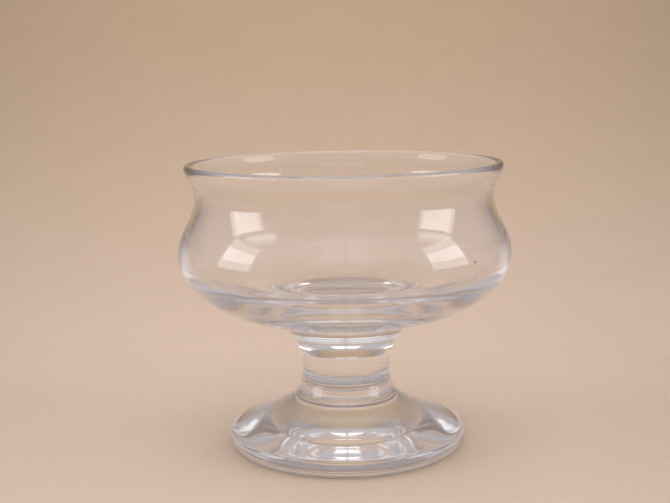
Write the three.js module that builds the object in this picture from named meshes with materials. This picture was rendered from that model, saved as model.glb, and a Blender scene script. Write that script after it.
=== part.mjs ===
import * as THREE from 'three';

// A low champagne coupe of clear glass: a waisted bowl, a short thick stem and a domed foot.
// Sizes are in millimetres and angles in degrees. Z is up, and the foot rests on Z = 0.

// Foot
const footRadius = 35.5;
const footWidestHeight = 3.2;
const footHeight = 13.1;
const footShoulderSlope = 30;
const footEdgeFullness = 4.1;
const footShoulderFullness = 17.4;

// Shallow hollow under the foot, inside the ring that it rests on
const hollowRadius = 20;
const hollowDepth = 0.8;
const hollowSlope = 12.5;
const hollowLip = 2.4;
const hollowFullness = 7;
const hollowEaseIn = 3.3;

// Stem
const stemLength = 15.3;
const stemFootRadius = 18.3;
const stemTopRadius = 13.05;
const stemFlareFullness = 6;
const stemTopFullness = 8.4;

// Bowl, with its heights measured from the joint with the stem
const bowlHeight = 56.6;
const collarRadius = 13.97;
const collarEdge = 0.7;
const collarLean = 21;
const collarFullness = 10.8;
const undersideRadius = 29.6;
const undersideHeight = 11.75;
const undersideSlope = 14.7;
const undersideInnerFullness = 5.6;
const undersideFullness = 9.2;
const bulgeRadius = 49.25;
const bulgeHeight = 30.2;
const bulgeLowerFullness = 9.5;
const bulgeUpperFullness = 6.8;
const neckRadius = 44.1;
const neckHeight = 47.25;
const neckFullness = 7;
const rimRadius = 46.8;
const rimBeadRadius = 1.05;
const lipLean = 10.6;
const lipFullness = 4.3;

// Glass thickness in the wall and in the middle of the floor, and the shape of the inner side
const neckWall = 2.3;
const bulgeWall = 2.8;
const floorThickness = 17.8;
const innerLipLean = 18;
const floorFullness = 34;
const innerBulgeRise = 0.9;
const innerBulgeUpperFullness = 6;
const innerBulgeFullness = 10.5;

// Fineness of the meshes
const turnSegments = 60;
const longSteps = 9;
const shortSteps = 4;
const edgeSteps = 3;

const point = (radius, height) => new THREE.Vector2(radius, height);

// The point that lies a given way along a direction, where 0 leads away from the axis and 90 up.
function along(start, direction, distance) {
  const angle = THREE.MathUtils.degToRad(direction);
  return point(start.x + distance * Math.cos(angle), start.y + distance * Math.sin(angle));
}

// Draws the outline on to the next knot. It leaves the last knot in one direction and reaches the
// next in another, and holds each of them for a given distance.
function flow(outline, leaving, leavingHold, end, arriving, arrivingHold, steps) {
  const start = outline[outline.length - 1];
  const curve = new THREE.CubicBezierCurve(
    start, along(start, leaving, leavingHold), along(end, arriving, -arrivingHold), end);
  outline.push(...curve.getPoints(steps).slice(1));
}

// Carries the outline on round a circle, from the angle where it stands to another.
function arc(outline, centre, radius, fromAngle, toAngle, steps) {
  const curve = new THREE.EllipseCurve(
    centre.x, centre.y, radius, radius,
    THREE.MathUtils.degToRad(fromAngle), THREE.MathUtils.degToRad(toAngle), toAngle < fromAngle);
  outline.push(...curve.getPoints(steps).slice(1));
}

// Turns a closed outline round the Z axis, from a height that the piece stands at.
function turned(name, outline, standsAt, material) {
  const geometry = new THREE.LatheGeometry(outline, turnSegments);
  geometry.rotateX(Math.PI / 2);
  const piece = new THREE.Mesh(geometry, material);
  piece.name = name;
  piece.position.z = standsAt;
  return piece;
}

function clearGlass(color) {
  return new THREE.MeshStandardMaterial({
    color, roughness: 0.03, metalness: 0, transparent: true, opacity: 0.35 });
}

function footOutline() {
  const restOuterRadius = footRadius - footWidestHeight;
  const lipCentre = point(hollowRadius, hollowLip);
  const lipAngle = -90 - hollowSlope;
  const outline = [point(0, hollowDepth)];
  flow(outline, 0, hollowFullness, along(lipCentre, lipAngle, hollowLip),
    -hollowSlope, hollowEaseIn, shortSteps);
  arc(outline, lipCentre, hollowLip, lipAngle, -90, edgeSteps);
  outline.push(point(restOuterRadius, 0));
  arc(outline, point(restOuterRadius, footWidestHeight), footWidestHeight, -90, 0, shortSteps);
  flow(outline, 90, footEdgeFullness, point(stemFootRadius, footHeight),
    180 - footShoulderSlope, footShoulderFullness, longSteps);
  outline.push(point(0, footHeight));
  return outline;
}

function stemOutline() {
  const outline = [point(0, 0), point(stemFootRadius, 0)];
  flow(outline, 180 - footShoulderSlope, stemFlareFullness, point(stemTopRadius, stemLength),
    90, stemTopFullness, longSteps);
  outline.push(point(0, stemLength));
  return outline;
}

function bowlOutline() {
  const collarEdgeCentre = point(collarRadius - collarEdge, collarEdge);
  const beadCentre = point(rimRadius - rimBeadRadius, bowlHeight - rimBeadRadius);
  const outline = [point(0, 0), point(stemTopRadius, 0), point(collarEdgeCentre.x, 0)];
  arc(outline, collarEdgeCentre, collarEdge, -90, -collarLean, edgeSteps);
  flow(outline, 90 - collarLean, collarFullness, point(undersideRadius, undersideHeight),
    undersideSlope, undersideInnerFullness, longSteps);
  flow(outline, undersideSlope, undersideFullness, point(bulgeRadius, bulgeHeight),
    90, bulgeLowerFullness, longSteps);
  flow(outline, 90, bulgeUpperFullness, point(neckRadius, neckHeight),
    90, neckFullness, shortSteps);
  flow(outline, 90, lipFullness, along(beadCentre, -lipLean, rimBeadRadius),
    90 - lipLean, lipFullness, shortSteps);
  arc(outline, beadCentre, rimBeadRadius, -lipLean, 90, edgeSteps);
  arc(outline, beadCentre, rimBeadRadius, 90, 180 - innerLipLean, edgeSteps);
  flow(outline, -90 - innerLipLean, lipFullness, point(neckRadius - neckWall, neckHeight),
    -90, lipFullness, shortSteps);
  flow(outline, -90, neckFullness, point(bulgeRadius - bulgeWall, bulgeHeight + innerBulgeRise),
    -90, innerBulgeUpperFullness, shortSteps);
  flow(outline, -90, innerBulgeFullness, point(0, floorThickness), 180, floorFullness, longSteps);
  return outline;
}

const foot = turned('foot', footOutline(), 0, clearGlass(0xd9dde2));
const stem = turned('stem', stemOutline(), footHeight, clearGlass(0xdcdfe3));
const bowl = turned('bowl', bowlOutline(), footHeight + stemLength, clearGlass(0xe0e2e6));

const coupe = new THREE.Group();
coupe.name = 'champagne_coupe';
coupe.add(foot, stem, bowl);

export default coupe;
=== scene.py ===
import math

import bmesh
import bpy
from mathutils import Matrix, Vector
from mathutils.geometry import interpolate_bezier


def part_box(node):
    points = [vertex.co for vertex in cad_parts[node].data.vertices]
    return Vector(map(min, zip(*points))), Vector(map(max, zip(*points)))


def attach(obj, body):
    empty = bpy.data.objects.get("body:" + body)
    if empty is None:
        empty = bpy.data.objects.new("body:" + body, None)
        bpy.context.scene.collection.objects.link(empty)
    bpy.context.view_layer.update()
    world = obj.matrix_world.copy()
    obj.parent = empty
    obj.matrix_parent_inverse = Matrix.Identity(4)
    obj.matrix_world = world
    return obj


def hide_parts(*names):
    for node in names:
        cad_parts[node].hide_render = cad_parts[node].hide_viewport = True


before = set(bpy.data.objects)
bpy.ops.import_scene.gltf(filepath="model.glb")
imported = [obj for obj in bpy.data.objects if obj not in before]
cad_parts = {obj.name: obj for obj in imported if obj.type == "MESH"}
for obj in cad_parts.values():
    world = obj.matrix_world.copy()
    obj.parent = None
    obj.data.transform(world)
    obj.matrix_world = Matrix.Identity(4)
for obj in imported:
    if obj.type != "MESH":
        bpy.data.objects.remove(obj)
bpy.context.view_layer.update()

# A low champagne coupe of clear glass on a warm paper sweep, lit by a window on either side, a
# divided skylight and the even light of the room.
# Lengths are in metres unless a name ends in MM. Angles are in degrees, and Z is up.

MM = 0.001

# Heights and radii that the frame gives
STEM_LOW, STEM_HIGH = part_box("stem")
BOWL_LOW, BOWL_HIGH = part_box("bowl")
FOOT_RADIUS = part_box("foot")[1].x
FOOT_JOINT_HEIGHT = STEM_LOW.z
STEM_FOOT_RADIUS = STEM_HIGH.x
BOWL_JOINT_HEIGHT = BOWL_LOW.z
BULGE_RADIUS = BOWL_HIGH.x
RIM_HEIGHT = BOWL_HIGH.z

# Foot
FOOT_WIDEST_MM = 3.2
FOOT_SHOULDER_SLOPE = 30
FOOT_EDGE_HOLD_MM = 4.1
FOOT_SHOULDER_HOLD_MM = 17.4
HOLLOW_RADIUS_MM = 20.0
HOLLOW_DEPTH_MM = 0.8
HOLLOW_SLOPE = 12.5
HOLLOW_LIP_MM = 2.4
HOLLOW_HOLD_MM = 7.0
HOLLOW_EASE_MM = 3.3

# Stem
STEM_TOP_RADIUS_MM = 13.05
STEM_FLARE_HOLD_MM = 6.0
STEM_TOP_HOLD_MM = 8.4

# Bowl, with its heights measured from the joint with the stem
COLLAR_RADIUS_MM = 13.97
COLLAR_EDGE_MM = 0.7
COLLAR_LEAN = 21
COLLAR_HOLD_MM = 10.8
UNDERSIDE_RADIUS_MM = 29.6
UNDERSIDE_HEIGHT_MM = 11.75
UNDERSIDE_SLOPE = 14.7
UNDERSIDE_INNER_HOLD_MM = 5.6
UNDERSIDE_HOLD_MM = 9.2
BULGE_HEIGHT_MM = 30.2
BULGE_LOWER_HOLD_MM = 9.5
BULGE_UPPER_HOLD_MM = 6.8
NECK_RADIUS_MM = 44.1
NECK_HEIGHT_MM = 47.25
NECK_HOLD_MM = 7.0
RIM_RADIUS_MM = 46.8
BEAD_RADIUS_MM = 1.05
LIP_LEAN = 10.6
LIP_HOLD_MM = 4.3

# Wall and floor of the bowl, and the shape of its inner side
NECK_WALL_MM = 2.3
BULGE_WALL_MM = 2.8
FLOOR_THICKNESS_MM = 17.8
INNER_LIP_LEAN = 18
INNER_BULGE_RISE_MM = 0.9
INNER_BULGE_UPPER_HOLD_MM = 6.0
INNER_BULGE_HOLD_MM = 10.5
FLOOR_HOLD_MM = 34.0

# Fineness of the meshes
TURN_STEPS = 192
LONG_STEPS = 48
SHORT_STEPS = 20
SAME_PLACE = 1e-6
LEVEL_NORMAL = 0.999


def mm(radius, height, base=0.0):
    return Vector((radius * MM, 0.0, base + height * MM))


def along(start, direction, distance):
    """The point that lies a distance in millimetres from start. Direction 0 leads away from the
    axis and 90 up."""
    angle = math.radians(direction)
    return start + distance * MM * Vector((math.cos(angle), 0.0, math.sin(angle)))


def flow(outline, leaving, leaving_hold, end, arriving, arriving_hold, steps):
    """Carries an outline on to end, holding each direction for a distance in millimetres."""
    start = outline[-1]
    leave = along(start, leaving, leaving_hold)
    arrive = along(end, arriving, -arriving_hold)
    outline += interpolate_bezier(start, leave, arrive, end, steps + 1)[1:]


def arc(outline, centre, radius, from_angle, to_angle, steps):
    """Carries an outline on round a circle, from one angle to another."""
    turn = to_angle - from_angle
    for step in range(1, steps + 1):
        outline.append(along(centre, from_angle + turn * step / steps, radius))


def foot_outline():
    rest_outer = FOOT_RADIUS / MM - FOOT_WIDEST_MM
    lip = mm(HOLLOW_RADIUS_MM, HOLLOW_LIP_MM)
    lip_angle = -90 - HOLLOW_SLOPE
    outline = [mm(0, HOLLOW_DEPTH_MM)]
    flow(outline, 0, HOLLOW_HOLD_MM,
         along(lip, lip_angle, HOLLOW_LIP_MM), -HOLLOW_SLOPE, HOLLOW_EASE_MM, LONG_STEPS)
    arc(outline, lip, HOLLOW_LIP_MM, lip_angle, -90, SHORT_STEPS)
    outline.append(mm(rest_outer, 0))
    arc(outline, mm(rest_outer, FOOT_WIDEST_MM), FOOT_WIDEST_MM, -90, 0, SHORT_STEPS)
    flow(outline, 90, FOOT_EDGE_HOLD_MM,
         mm(STEM_FOOT_RADIUS / MM, 0, FOOT_JOINT_HEIGHT),
         180 - FOOT_SHOULDER_SLOPE, FOOT_SHOULDER_HOLD_MM, LONG_STEPS)
    outline.append(mm(0, 0, FOOT_JOINT_HEIGHT))
    return outline


def stem_outline():
    base = FOOT_JOINT_HEIGHT
    outline = [mm(0, 0, base), mm(STEM_FOOT_RADIUS / MM, 0, base)]
    flow(outline, 180 - FOOT_SHOULDER_SLOPE, STEM_FLARE_HOLD_MM,
         mm(STEM_TOP_RADIUS_MM, 0, BOWL_JOINT_HEIGHT), 90, STEM_TOP_HOLD_MM, LONG_STEPS)
    outline.append(mm(0, 0, BOWL_JOINT_HEIGHT))
    return outline


def bowl_outline():
    base = BOWL_JOINT_HEIGHT
    bulge = BULGE_RADIUS / MM
    bead = mm(RIM_RADIUS_MM - BEAD_RADIUS_MM, -BEAD_RADIUS_MM, RIM_HEIGHT)
    edge_radius = COLLAR_RADIUS_MM - COLLAR_EDGE_MM
    outline = [mm(0, 0, base), mm(STEM_TOP_RADIUS_MM, 0, base), mm(edge_radius, 0, base)]
    arc(outline, mm(edge_radius, COLLAR_EDGE_MM, base), COLLAR_EDGE_MM, -90, -COLLAR_LEAN,
        SHORT_STEPS)
    flow(outline, 90 - COLLAR_LEAN, COLLAR_HOLD_MM,
         mm(UNDERSIDE_RADIUS_MM, UNDERSIDE_HEIGHT_MM, base),
         UNDERSIDE_SLOPE, UNDERSIDE_INNER_HOLD_MM, LONG_STEPS)
    flow(outline, UNDERSIDE_SLOPE, UNDERSIDE_HOLD_MM,
         mm(bulge, BULGE_HEIGHT_MM, base), 90, BULGE_LOWER_HOLD_MM, LONG_STEPS)
    flow(outline, 90, BULGE_UPPER_HOLD_MM,
         mm(NECK_RADIUS_MM, NECK_HEIGHT_MM, base), 90, NECK_HOLD_MM, SHORT_STEPS)
    flow(outline, 90, LIP_HOLD_MM,
         along(bead, -LIP_LEAN, BEAD_RADIUS_MM), 90 - LIP_LEAN, LIP_HOLD_MM, SHORT_STEPS)
    arc(outline, bead, BEAD_RADIUS_MM, -LIP_LEAN, 90, SHORT_STEPS)
    arc(outline, bead, BEAD_RADIUS_MM, 90, 180 - INNER_LIP_LEAN, SHORT_STEPS)
    flow(outline, -90 - INNER_LIP_LEAN, LIP_HOLD_MM,
         mm(NECK_RADIUS_MM - NECK_WALL_MM, NECK_HEIGHT_MM, base), -90, LIP_HOLD_MM, SHORT_STEPS)
    flow(outline, -90, NECK_HOLD_MM,
         mm(bulge - BULGE_WALL_MM, BULGE_HEIGHT_MM + INNER_BULGE_RISE_MM, base),
         -90, INNER_BULGE_UPPER_HOLD_MM, SHORT_STEPS)
    flow(outline, -90, INNER_BULGE_HOLD_MM,
         mm(0, FLOOR_THICKNESS_MM, base), 180, FLOOR_HOLD_MM, LONG_STEPS)
    return outline


def at_joint(place, joints):
    return any(abs(place.z - height) < SAME_PLACE and math.hypot(place.x, place.y) < radius
               for height, radius in joints)


def turned(name, outline, joints, materials):
    """Turns an outline about Z. Its flat joint faces, which reach from the axis out to a radius
    at each joint's height, get the second material."""
    bm = bmesh.new()
    verts = [bm.verts.new(p) for p in outline]
    edges = [bm.edges.new(pair) for pair in zip(verts, verts[1:])]
    bmesh.ops.spin(bm, geom=verts + edges, cent=(0, 0, 0), axis=(0, 0, 1),
                   angle=2 * math.pi, steps=TURN_STEPS, use_merge=True)
    bmesh.ops.remove_doubles(bm, verts=bm.verts, dist=SAME_PLACE)
    bmesh.ops.recalc_face_normals(bm, faces=bm.faces)
    for face in bm.faces:
        face.smooth = True
        if at_joint(face.calc_center_median(), joints) and abs(face.normal.z) > LEVEL_NORMAL:
            face.material_index = 1
            face.smooth = False
            for edge in face.edges:
                edge.smooth = False
    return placed(name, bm, materials)


def placed(name, bm, materials):
    """Makes an object of a finished bmesh and puts it in the scene."""
    mesh = bpy.data.meshes.new(name)
    bm.to_mesh(mesh)
    bm.free()
    for material in materials:
        mesh.materials.append(material)
    piece = bpy.data.objects.new(name, mesh)
    bpy.context.scene.collection.objects.link(piece)
    return piece


def principled(name):
    material = bpy.data.materials.new(name)
    material.use_nodes = True
    return material, material.node_tree.nodes["Principled BSDF"]


def feed(links, socket, value):
    """Gives a socket another node's output, or else a number or colour of its own."""
    if isinstance(value, bpy.types.NodeSocket):
        links.new(value, socket)
    else:
        socket.default_value = value


def math_node(nodes, links, operation, first, second):
    node = nodes.new("ShaderNodeMath")
    node.operation = operation
    feed(links, node.inputs[0], first)
    feed(links, node.inputs[1], second)
    return node.outputs[0]


def spread(nodes, links, value, low, high, to_low, to_high, interpolation="SMOOTHSTEP"):
    """Maps a value's range to another, and holds its ends beyond them."""
    node = nodes.new("ShaderNodeMapRange")
    node.interpolation_type = interpolation
    limits = {"From Min": low, "From Max": high, "To Min": to_low, "To Max": to_high}
    for name, limit in limits.items():
        node.inputs[name].default_value = limit
    links.new(value, node.inputs["Value"])
    return node.outputs[0]


def mixed(nodes, links, share, first, second):
    """Turns one colour into another as the share goes from 0 to 1."""
    node = nodes.new("ShaderNodeMix")
    node.data_type = "RGBA"
    feed(links, node.inputs["A"], first)
    feed(links, node.inputs["B"], second)
    links.new(share, node.inputs[0])
    return node.outputs["Result"]


def shaded(nodes, links, colour, share):
    """Keeps a share of a colour's brightness."""
    node = nodes.new("ShaderNodeVectorMath")
    node.operation = "SCALE"
    links.new(colour, node.inputs[0])
    links.new(share, node.inputs["Scale"])
    return node.outputs["Vector"]


def noise(nodes, links, place, scale, detail):
    node = nodes.new("ShaderNodeTexNoise")
    node.inputs["Scale"].default_value = scale
    node.inputs["Detail"].default_value = detail
    links.new(place, node.inputs["Vector"])
    return node.outputs[0]


# Glass. The seeds' core and edge are measured in cells of their pattern.
GLASS_TINT = (0.988, 0.989, 0.992)
GLASS_IOR = 1.52
WAVE_SCALE = 45.0
WAVE_DETAIL = 1.0
WAVE_DEPTH = 0.000006
SMUDGE_SCALE = 110.0
SMUDGE_DETAIL = 3.0
SMUDGE_FROM = 0.45
SMUDGE_TO = 0.75
CLEAN_ROUGHNESS = 0.045
SMUDGED_ROUGHNESS = 0.065
SEED_SCALE = 60.0
SEED_CORE = 0.021
SEED_EDGE = 0.042
SEED_SHADE = 0.8
SPECK_PLACE = (0.0344, -0.0350, 0.0604)
SPECK_CORE_RADIUS = 0.0003
SPECK_RADIUS = 0.0005
SPECK_SHADE = 0.25


def glass_surface():
    """Fire-polished glass: a faint waviness, faint smudges, tiny seeds and one dark speck."""
    tree = bpy.data.node_groups.new("glass_surface", "ShaderNodeTree")
    tree.interface.new_socket("Tint", in_out="INPUT", socket_type="NodeSocketColor")
    tree.interface.new_socket("Color", in_out="OUTPUT", socket_type="NodeSocketColor")
    tree.interface.new_socket("Roughness", in_out="OUTPUT", socket_type="NodeSocketFloat")
    tree.interface.new_socket("Normal", in_out="OUTPUT", socket_type="NodeSocketVector")
    nodes, links = tree.nodes, tree.links
    given = nodes.new("NodeGroupInput")
    shown = nodes.new("NodeGroupOutput")
    place = nodes.new("ShaderNodeTexCoord").outputs["Object"]

    wave = nodes.new("ShaderNodeBump")
    wave.inputs["Distance"].default_value = WAVE_DEPTH
    links.new(noise(nodes, links, place, WAVE_SCALE, WAVE_DETAIL), wave.inputs["Height"])
    links.new(wave.outputs["Normal"], shown.inputs["Normal"])

    smudge = noise(nodes, links, place, SMUDGE_SCALE, SMUDGE_DETAIL)
    roughness = spread(nodes, links, smudge, SMUDGE_FROM, SMUDGE_TO,
                       CLEAN_ROUGHNESS, SMUDGED_ROUGHNESS)
    links.new(roughness, shown.inputs["Roughness"])

    cells = nodes.new("ShaderNodeTexVoronoi")
    cells.inputs["Scale"].default_value = SEED_SCALE
    links.new(place, cells.inputs["Vector"])
    seed = spread(nodes, links, cells.outputs["Distance"], SEED_CORE, SEED_EDGE, SEED_SHADE, 1.0)
    away = nodes.new("ShaderNodeVectorMath")
    away.operation = "DISTANCE"
    away.inputs[1].default_value = SPECK_PLACE
    links.new(place, away.inputs[0])
    speck = spread(nodes, links, away.outputs["Value"], SPECK_CORE_RADIUS, SPECK_RADIUS,
                   SPECK_SHADE, 1.0)
    kept = math_node(nodes, links, "MULTIPLY", seed, speck)
    links.new(shaded(nodes, links, given.outputs["Tint"], kept), shown.inputs["Color"])
    return tree


surface = glass_surface()


def clear_glass(name, tint):
    material, shader = principled(name)
    shader.inputs["IOR"].default_value = GLASS_IOR
    shader.inputs["Transmission Weight"].default_value = 1.0
    nodes, links = material.node_tree.nodes, material.node_tree.links
    group = nodes.new("ShaderNodeGroup")
    group.node_tree = surface
    group.inputs["Tint"].default_value = (*tint, 1)
    links.new(group.outputs["Color"], shader.inputs["Base Color"])
    links.new(group.outputs["Roughness"], shader.inputs["Roughness"])
    links.new(group.outputs["Normal"], shader.inputs["Normal"])
    return material


def fused_joint():
    """The see-through material of the faces where the hot pieces were joined."""
    material, shader = principled("fused_joint")
    shader.inputs["Alpha"].default_value = 0.0
    return material


joint = fused_joint()
foot_joint = (FOOT_JOINT_HEIGHT, STEM_FOOT_RADIUS)
bowl_joint = (BOWL_JOINT_HEIGHT, STEM_TOP_RADIUS_MM * MM)
foot = turned("foot_glass", foot_outline(), [foot_joint],
              [clear_glass("foot_glass", GLASS_TINT), joint])
stem = turned("stem_glass", stem_outline(), [foot_joint, bowl_joint],
              [clear_glass("stem_glass", GLASS_TINT), joint])
bowl = turned("bowl_glass", bowl_outline(), [bowl_joint],
              [clear_glass("bowl_glass", GLASS_TINT), joint])
for piece, node in ((foot, "foot"), (stem, "stem"), (bowl, "bowl")):
    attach(piece, "root")
    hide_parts(node)

# Paper sweep: a floor that curves up into a backdrop
SWEEP_HALF_WIDTH = 0.65
SWEEP_FRONT = -1.2
SWEEP_BEND = 0.25
SWEEP_BEND_RADIUS = 1.3
SWEEP_BEND_STEPS = 48
SWEEP_TOP = 0.6
PAPER_HEIGHT = -0.0001
PAPER_ROUGHNESS = 0.9

# The paper's colour holds painted light and shade. It is painted darker with the distance behind
# the glass (painted shade), lighter with the height of the backdrop above the picture (painted
# light), and lighter close under the foot, where the glass gathers light (painted light).
PAPER_NEAR_COLOR = (0.770, 0.618, 0.474)
PAPER_FAR_SHADE_COLOR = (0.585, 0.440, 0.280)
PAPER_NEAR = 0.0
PAPER_FAR = 1.0
PAPER_TOP_LIGHT_COLOR = (0.66, 0.56, 0.42)
PAPER_TOP_FROM = 0.25
PAPER_TOP_TO = 0.7
GATHERED_COLOR = (0.97, 0.93, 0.92)
GATHERED_FROM = 0.028
GATHERED_TO = 0.034
CLOUD_SCALE = 22.0
CLOUD_DETAIL = 2.0
CLOUD_DEPTH = 0.02
GRAIN_SCALE = 700.0
GRAIN_DETAIL = 3.0
GRAIN_DEPTH = 0.02
PATTERN_LOW = 0.3
PATTERN_HIGH = 0.7

# Pool of light on the paper, which widens towards the back
POOL_MIDDLE = -0.014
POOL_HALF_WIDTH = 0.1
POOL_SPREAD = 0.31
POOL_FALL_NEAR = 0.10
POOL_FALL_FAR = 0.2
POOL_LIMIT = 2.0


def light_pool():
    """The share of light that the paper keeps: all in the middle, less to the sides."""
    tree = bpy.data.node_groups.new("light_pool", "ShaderNodeTree")
    tree.interface.new_socket("X", in_out="INPUT", socket_type="NodeSocketFloat")
    tree.interface.new_socket("Y", in_out="INPUT", socket_type="NodeSocketFloat")
    tree.interface.new_socket("Share", in_out="OUTPUT", socket_type="NodeSocketFloat")
    given = tree.nodes.new("NodeGroupInput")
    shown = tree.nodes.new("NodeGroupOutput")

    def do(operation, first, second):
        return math_node(tree.nodes, tree.links, operation, first, second)

    back = do("MAXIMUM", given.outputs["Y"], 0.0)
    half_width = do("ADD", do("MULTIPLY", back, POOL_SPREAD), POOL_HALF_WIDTH)
    aside = do("DIVIDE", do("SUBTRACT", given.outputs["X"], POOL_MIDDLE), half_width)
    square = do("MINIMUM", do("MULTIPLY", aside, aside), POOL_LIMIT)
    added_fall = do("MULTIPLY", do("MINIMUM", back, 1.0), POOL_FALL_FAR - POOL_FALL_NEAR)
    fall = do("ADD", added_fall, POOL_FALL_NEAR)
    share = do("SUBTRACT", 1.0, do("MULTIPLY", square, fall))
    tree.links.new(share, shown.inputs["Share"])
    return tree


def faint_pattern(nodes, links, place, scale, detail, depth):
    """A noise that takes away a little light at most."""
    pattern = noise(nodes, links, place, scale, detail)
    return spread(nodes, links, pattern, PATTERN_LOW, PATTERN_HIGH, 1.0 - depth, 1.0)


def warm_paper():
    material, shader = principled("warm_paper")
    shader.inputs["Roughness"].default_value = PAPER_ROUGHNESS
    nodes, links = material.node_tree.nodes, material.node_tree.links
    place = nodes.new("ShaderNodeTexCoord").outputs["Object"]
    parts = nodes.new("ShaderNodeSeparateXYZ")
    links.new(place, parts.inputs[0])
    away = nodes.new("ShaderNodeVectorMath")
    away.operation = "LENGTH"
    links.new(place, away.inputs[0])

    # Painted shade: the paper is painted darker towards the back, where less light falls.
    reach = spread(nodes, links, parts.outputs["Y"], PAPER_NEAR, PAPER_FAR, 0.0, 1.0)
    # Painted light: the backdrop is painted lighter with its height.
    high = spread(nodes, links, parts.outputs["Z"], PAPER_TOP_FROM, PAPER_TOP_TO, 0.0, 1.0)
    under = spread(nodes, links, away.outputs["Value"], GATHERED_FROM, GATHERED_TO, 1.0, 0.0)
    colour = mixed(nodes, links, reach, (*PAPER_NEAR_COLOR, 1), (*PAPER_FAR_SHADE_COLOR, 1))
    colour = mixed(nodes, links, high, colour, (*PAPER_TOP_LIGHT_COLOR, 1))
    colour = mixed(nodes, links, under, colour, (*GATHERED_COLOR, 1))

    pool = nodes.new("ShaderNodeGroup")
    pool.node_tree = light_pool()
    links.new(parts.outputs["X"], pool.inputs["X"])
    links.new(parts.outputs["Y"], pool.inputs["Y"])
    cloud = faint_pattern(nodes, links, place, CLOUD_SCALE, CLOUD_DETAIL, CLOUD_DEPTH)
    grain = faint_pattern(nodes, links, place, GRAIN_SCALE, GRAIN_DETAIL, GRAIN_DEPTH)
    pattern = math_node(nodes, links, "MULTIPLY", cloud, grain)
    share = math_node(nodes, links, "MULTIPLY", pool.outputs["Share"], pattern)
    links.new(shaded(nodes, links, colour, share), shader.inputs["Base Color"])
    return material


def paper_sweep():
    outline = [Vector((-SWEEP_HALF_WIDTH, SWEEP_FRONT, PAPER_HEIGHT)),
               Vector((-SWEEP_HALF_WIDTH, SWEEP_BEND, PAPER_HEIGHT))]
    centre = Vector((-SWEEP_HALF_WIDTH, SWEEP_BEND, SWEEP_BEND_RADIUS + PAPER_HEIGHT))
    for step in range(1, SWEEP_BEND_STEPS + 1):
        angle = math.pi / 2 * step / SWEEP_BEND_STEPS
        outline.append(centre + SWEEP_BEND_RADIUS * Vector((0, math.sin(angle), -math.cos(angle))))
    outline.append(outline[-1] + Vector((0, 0, SWEEP_TOP)))
    bm = bmesh.new()
    verts = [bm.verts.new(p) for p in outline]
    edges = [bm.edges.new(pair) for pair in zip(verts, verts[1:])]
    made = bmesh.ops.extrude_edge_only(bm, edges=edges)["geom"]
    far_side = [element for element in made if isinstance(element, bmesh.types.BMVert)]
    bmesh.ops.translate(bm, vec=(2 * SWEEP_HALF_WIDTH, 0, 0), verts=far_side)
    bmesh.ops.recalc_face_normals(bm, faces=bm.faces)
    for face in bm.faces:
        face.smooth = True
    sweep = placed("paper_sweep", bm, [warm_paper()])


paper_sweep()

# Windows. Their angles are taken from a place a little above the middle of the glass.
WINDOW_DISTANCE = 0.9
WINDOW_LEVEL = 0.06
WINDOW_RADIANCE = 3.0
KEPT_REFLECTIONS = 1.0
LOST_REFLECTIONS = 3.0
LEFT_LIGHT = 0.2

# Skylight: two panes with a bar between them
SKYLIGHT_HEIGHT = 1.5
SKYLIGHT_HALF_WIDTH = 0.362
SKYLIGHT_BAR_HALF_WIDTH = 0.0214
SKYLIGHT_NEAR = -0.954
SKYLIGHT_FAR = 0.36
SKYLIGHT_RADIANCE = 0.9


def bright_rectangle(name, width, height, radiance):
    light = bpy.data.lights.new(name, "AREA")
    light.shape = "RECTANGLE"
    light.size = width
    light.size_y = height
    light.energy = radiance * width * height * math.pi
    lamp = bpy.data.objects.new(name, light)
    bpy.context.scene.collection.objects.link(lamp)
    return lamp


def fade_inside(light):
    """Dims a lamp where it is seen after several reflections inside the glass, which real glass
    soaks up in part."""
    light.use_nodes = True
    nodes, links = light.node_tree.nodes, light.node_tree.links
    reflections = nodes.new("ShaderNodeLightPath").outputs["Glossy Depth"]
    strength = spread(nodes, links, reflections, KEPT_REFLECTIONS, LOST_REFLECTIONS,
                      1.0, LEFT_LIGHT, "LINEAR")
    links.new(strength, nodes["Emission"].inputs["Strength"])


def window(name, azimuth, low, high, half_width):
    """A bright rectangle facing the glass. All four numbers are angles, and azimuth is taken
    from the camera's side, positive to the right."""
    low_z = WINDOW_LEVEL + WINDOW_DISTANCE * math.tan(math.radians(low))
    high_z = WINDOW_LEVEL + WINDOW_DISTANCE * math.tan(math.radians(high))
    width = 2 * WINDOW_DISTANCE * math.tan(math.radians(half_width))
    lamp = bright_rectangle(name, width, high_z - low_z, WINDOW_RADIANCE)
    fade_inside(lamp.data)
    turn = math.radians(azimuth)
    outwards = Vector((math.sin(turn), -math.cos(turn), 0))
    lamp.location = WINDOW_DISTANCE * outwards + Vector((0, 0, (low_z + high_z) / 2))
    lamp.rotation_euler = outwards.to_track_quat("Z", "Y").to_euler()


def skylight_pane(name, x_low, x_high):
    """One of the two bright panes overhead, facing down."""
    pane = bright_rectangle(name, x_high - x_low, SKYLIGHT_FAR - SKYLIGHT_NEAR,
                            SKYLIGHT_RADIANCE)
    pane.location = ((x_low + x_high) / 2, (SKYLIGHT_NEAR + SKYLIGHT_FAR) / 2, SKYLIGHT_HEIGHT)


window("left_window", azimuth=-77.5, low=-0.5, high=27, half_width=13.5)
window("right_window", azimuth=72, low=-0.5, high=28, half_width=14.5)
skylight_pane("skylight_left", -SKYLIGHT_HALF_WIDTH, -SKYLIGHT_BAR_HALF_WIDTH)
skylight_pane("skylight_right", SKYLIGHT_BAR_HALF_WIDTH, SKYLIGHT_HALF_WIDTH)

# The room's even light. The limits are parts of a direction of length 1.
AIR_LOW_COLOR = (0.40, 0.37, 0.385)
AIR_HIGH_COLOR = (0.52, 0.48, 0.50)
AIR_RISE_FROM = -0.05
AIR_RISE_TO = 0.35
BACK_SHADE = 0.35
BACK_FROM = 0.35
BACK_TO = 0.75
OVERHEAD_FROM = 0.6
OVERHEAD_TO = 0.85
PAPER_LIGHT = 1.58


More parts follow.
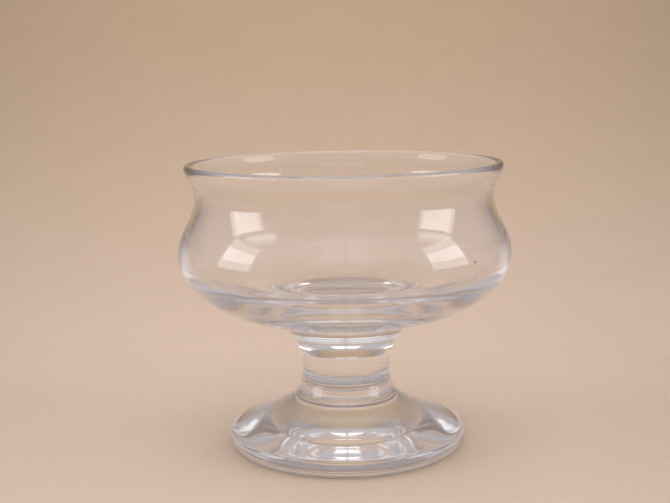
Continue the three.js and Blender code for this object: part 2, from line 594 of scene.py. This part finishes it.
def studio_air():
    """The room's even light: dim below, paler overhead and darker behind the paper. It falls on
    the paper more strongly than the glass shows it."""
    world = bpy.data.worlds.new("studio_air")
    world.use_nodes = True
    nodes, links = world.node_tree.nodes, world.node_tree.links
    parts = nodes.new("ShaderNodeSeparateXYZ")
    links.new(nodes.new("ShaderNodeTexCoord").outputs["Generated"], parts.inputs[0])
    rise = spread(nodes, links, parts.outputs["Z"], AIR_RISE_FROM, AIR_RISE_TO, 0.0, 1.0)
    colour = mixed(nodes, links, rise, (*AIR_LOW_COLOR, 1), (*AIR_HIGH_COLOR, 1))
    behind = spread(nodes, links, parts.outputs["Y"], BACK_FROM, BACK_TO, 0.0, BACK_SHADE)
    below = spread(nodes, links, parts.outputs["Z"], OVERHEAD_FROM, OVERHEAD_TO, 1.0, 0.0)
    lost = math_node(nodes, links, "MULTIPLY", behind, below)
    kept = math_node(nodes, links, "SUBTRACT", 1.0, lost)
    links.new(shaded(nodes, links, colour, kept), nodes["Background"].inputs["Color"])
    on_paper = nodes.new("ShaderNodeLightPath").outputs["Diffuse Depth"]
    strength = spread(nodes, links, on_paper, 0.0, 1.0, 1.0, PAPER_LIGHT, "LINEAR")
    links.new(strength, nodes["Background"].inputs["Strength"])
    world.cycles.sampling_method = "NONE"
    bpy.context.scene.world = world


studio_air()

# Camera at the photograph's viewing angle
CAMERA_DISTANCE = 0.321
CAMERA_HEIGHT = 0.1107
CAMERA_ASIDE = -0.00286
CAMERA_PITCH = 9.3
CAMERA_ROLL = -0.9
NEAREST_SEEN = 0.01
SENSOR_WIDTH_MM = 36
PHOTO_WIDTH_PX = 670
FOCAL_LENGTH_PX = 1090

camera_data = bpy.data.cameras.new("photo_camera")
camera_data.sensor_width = SENSOR_WIDTH_MM
camera_data.lens = SENSOR_WIDTH_MM * FOCAL_LENGTH_PX / PHOTO_WIDTH_PX
camera_data.clip_start = NEAREST_SEEN
camera = bpy.data.objects.new("photo_camera", camera_data)
camera.matrix_world = (Matrix.Translation((CAMERA_ASIDE, -CAMERA_DISTANCE, CAMERA_HEIGHT))
                       @ Matrix.Rotation(math.radians(90 - CAMERA_PITCH), 4, "X")
                       @ Matrix.Rotation(math.radians(CAMERA_ROLL), 4, "Z"))
bpy.context.scene.collection.objects.link(camera)
bpy.context.scene.camera = camera

# Light passes many faces and reflections before it leaves the thick glass.
GLASS_BOUNCES = 40
CLEAR_BOUNCES = 32

bpy.context.scene.view_settings.view_transform = "Standard"
bpy.context.scene.cycles.max_bounces = GLASS_BOUNCES
bpy.context.scene.cycles.transmission_bounces = GLASS_BOUNCES
bpy.context.scene.cycles.glossy_bounces = GLASS_BOUNCES
bpy.context.scene.cycles.transparent_max_bounces = CLEAR_BOUNCES
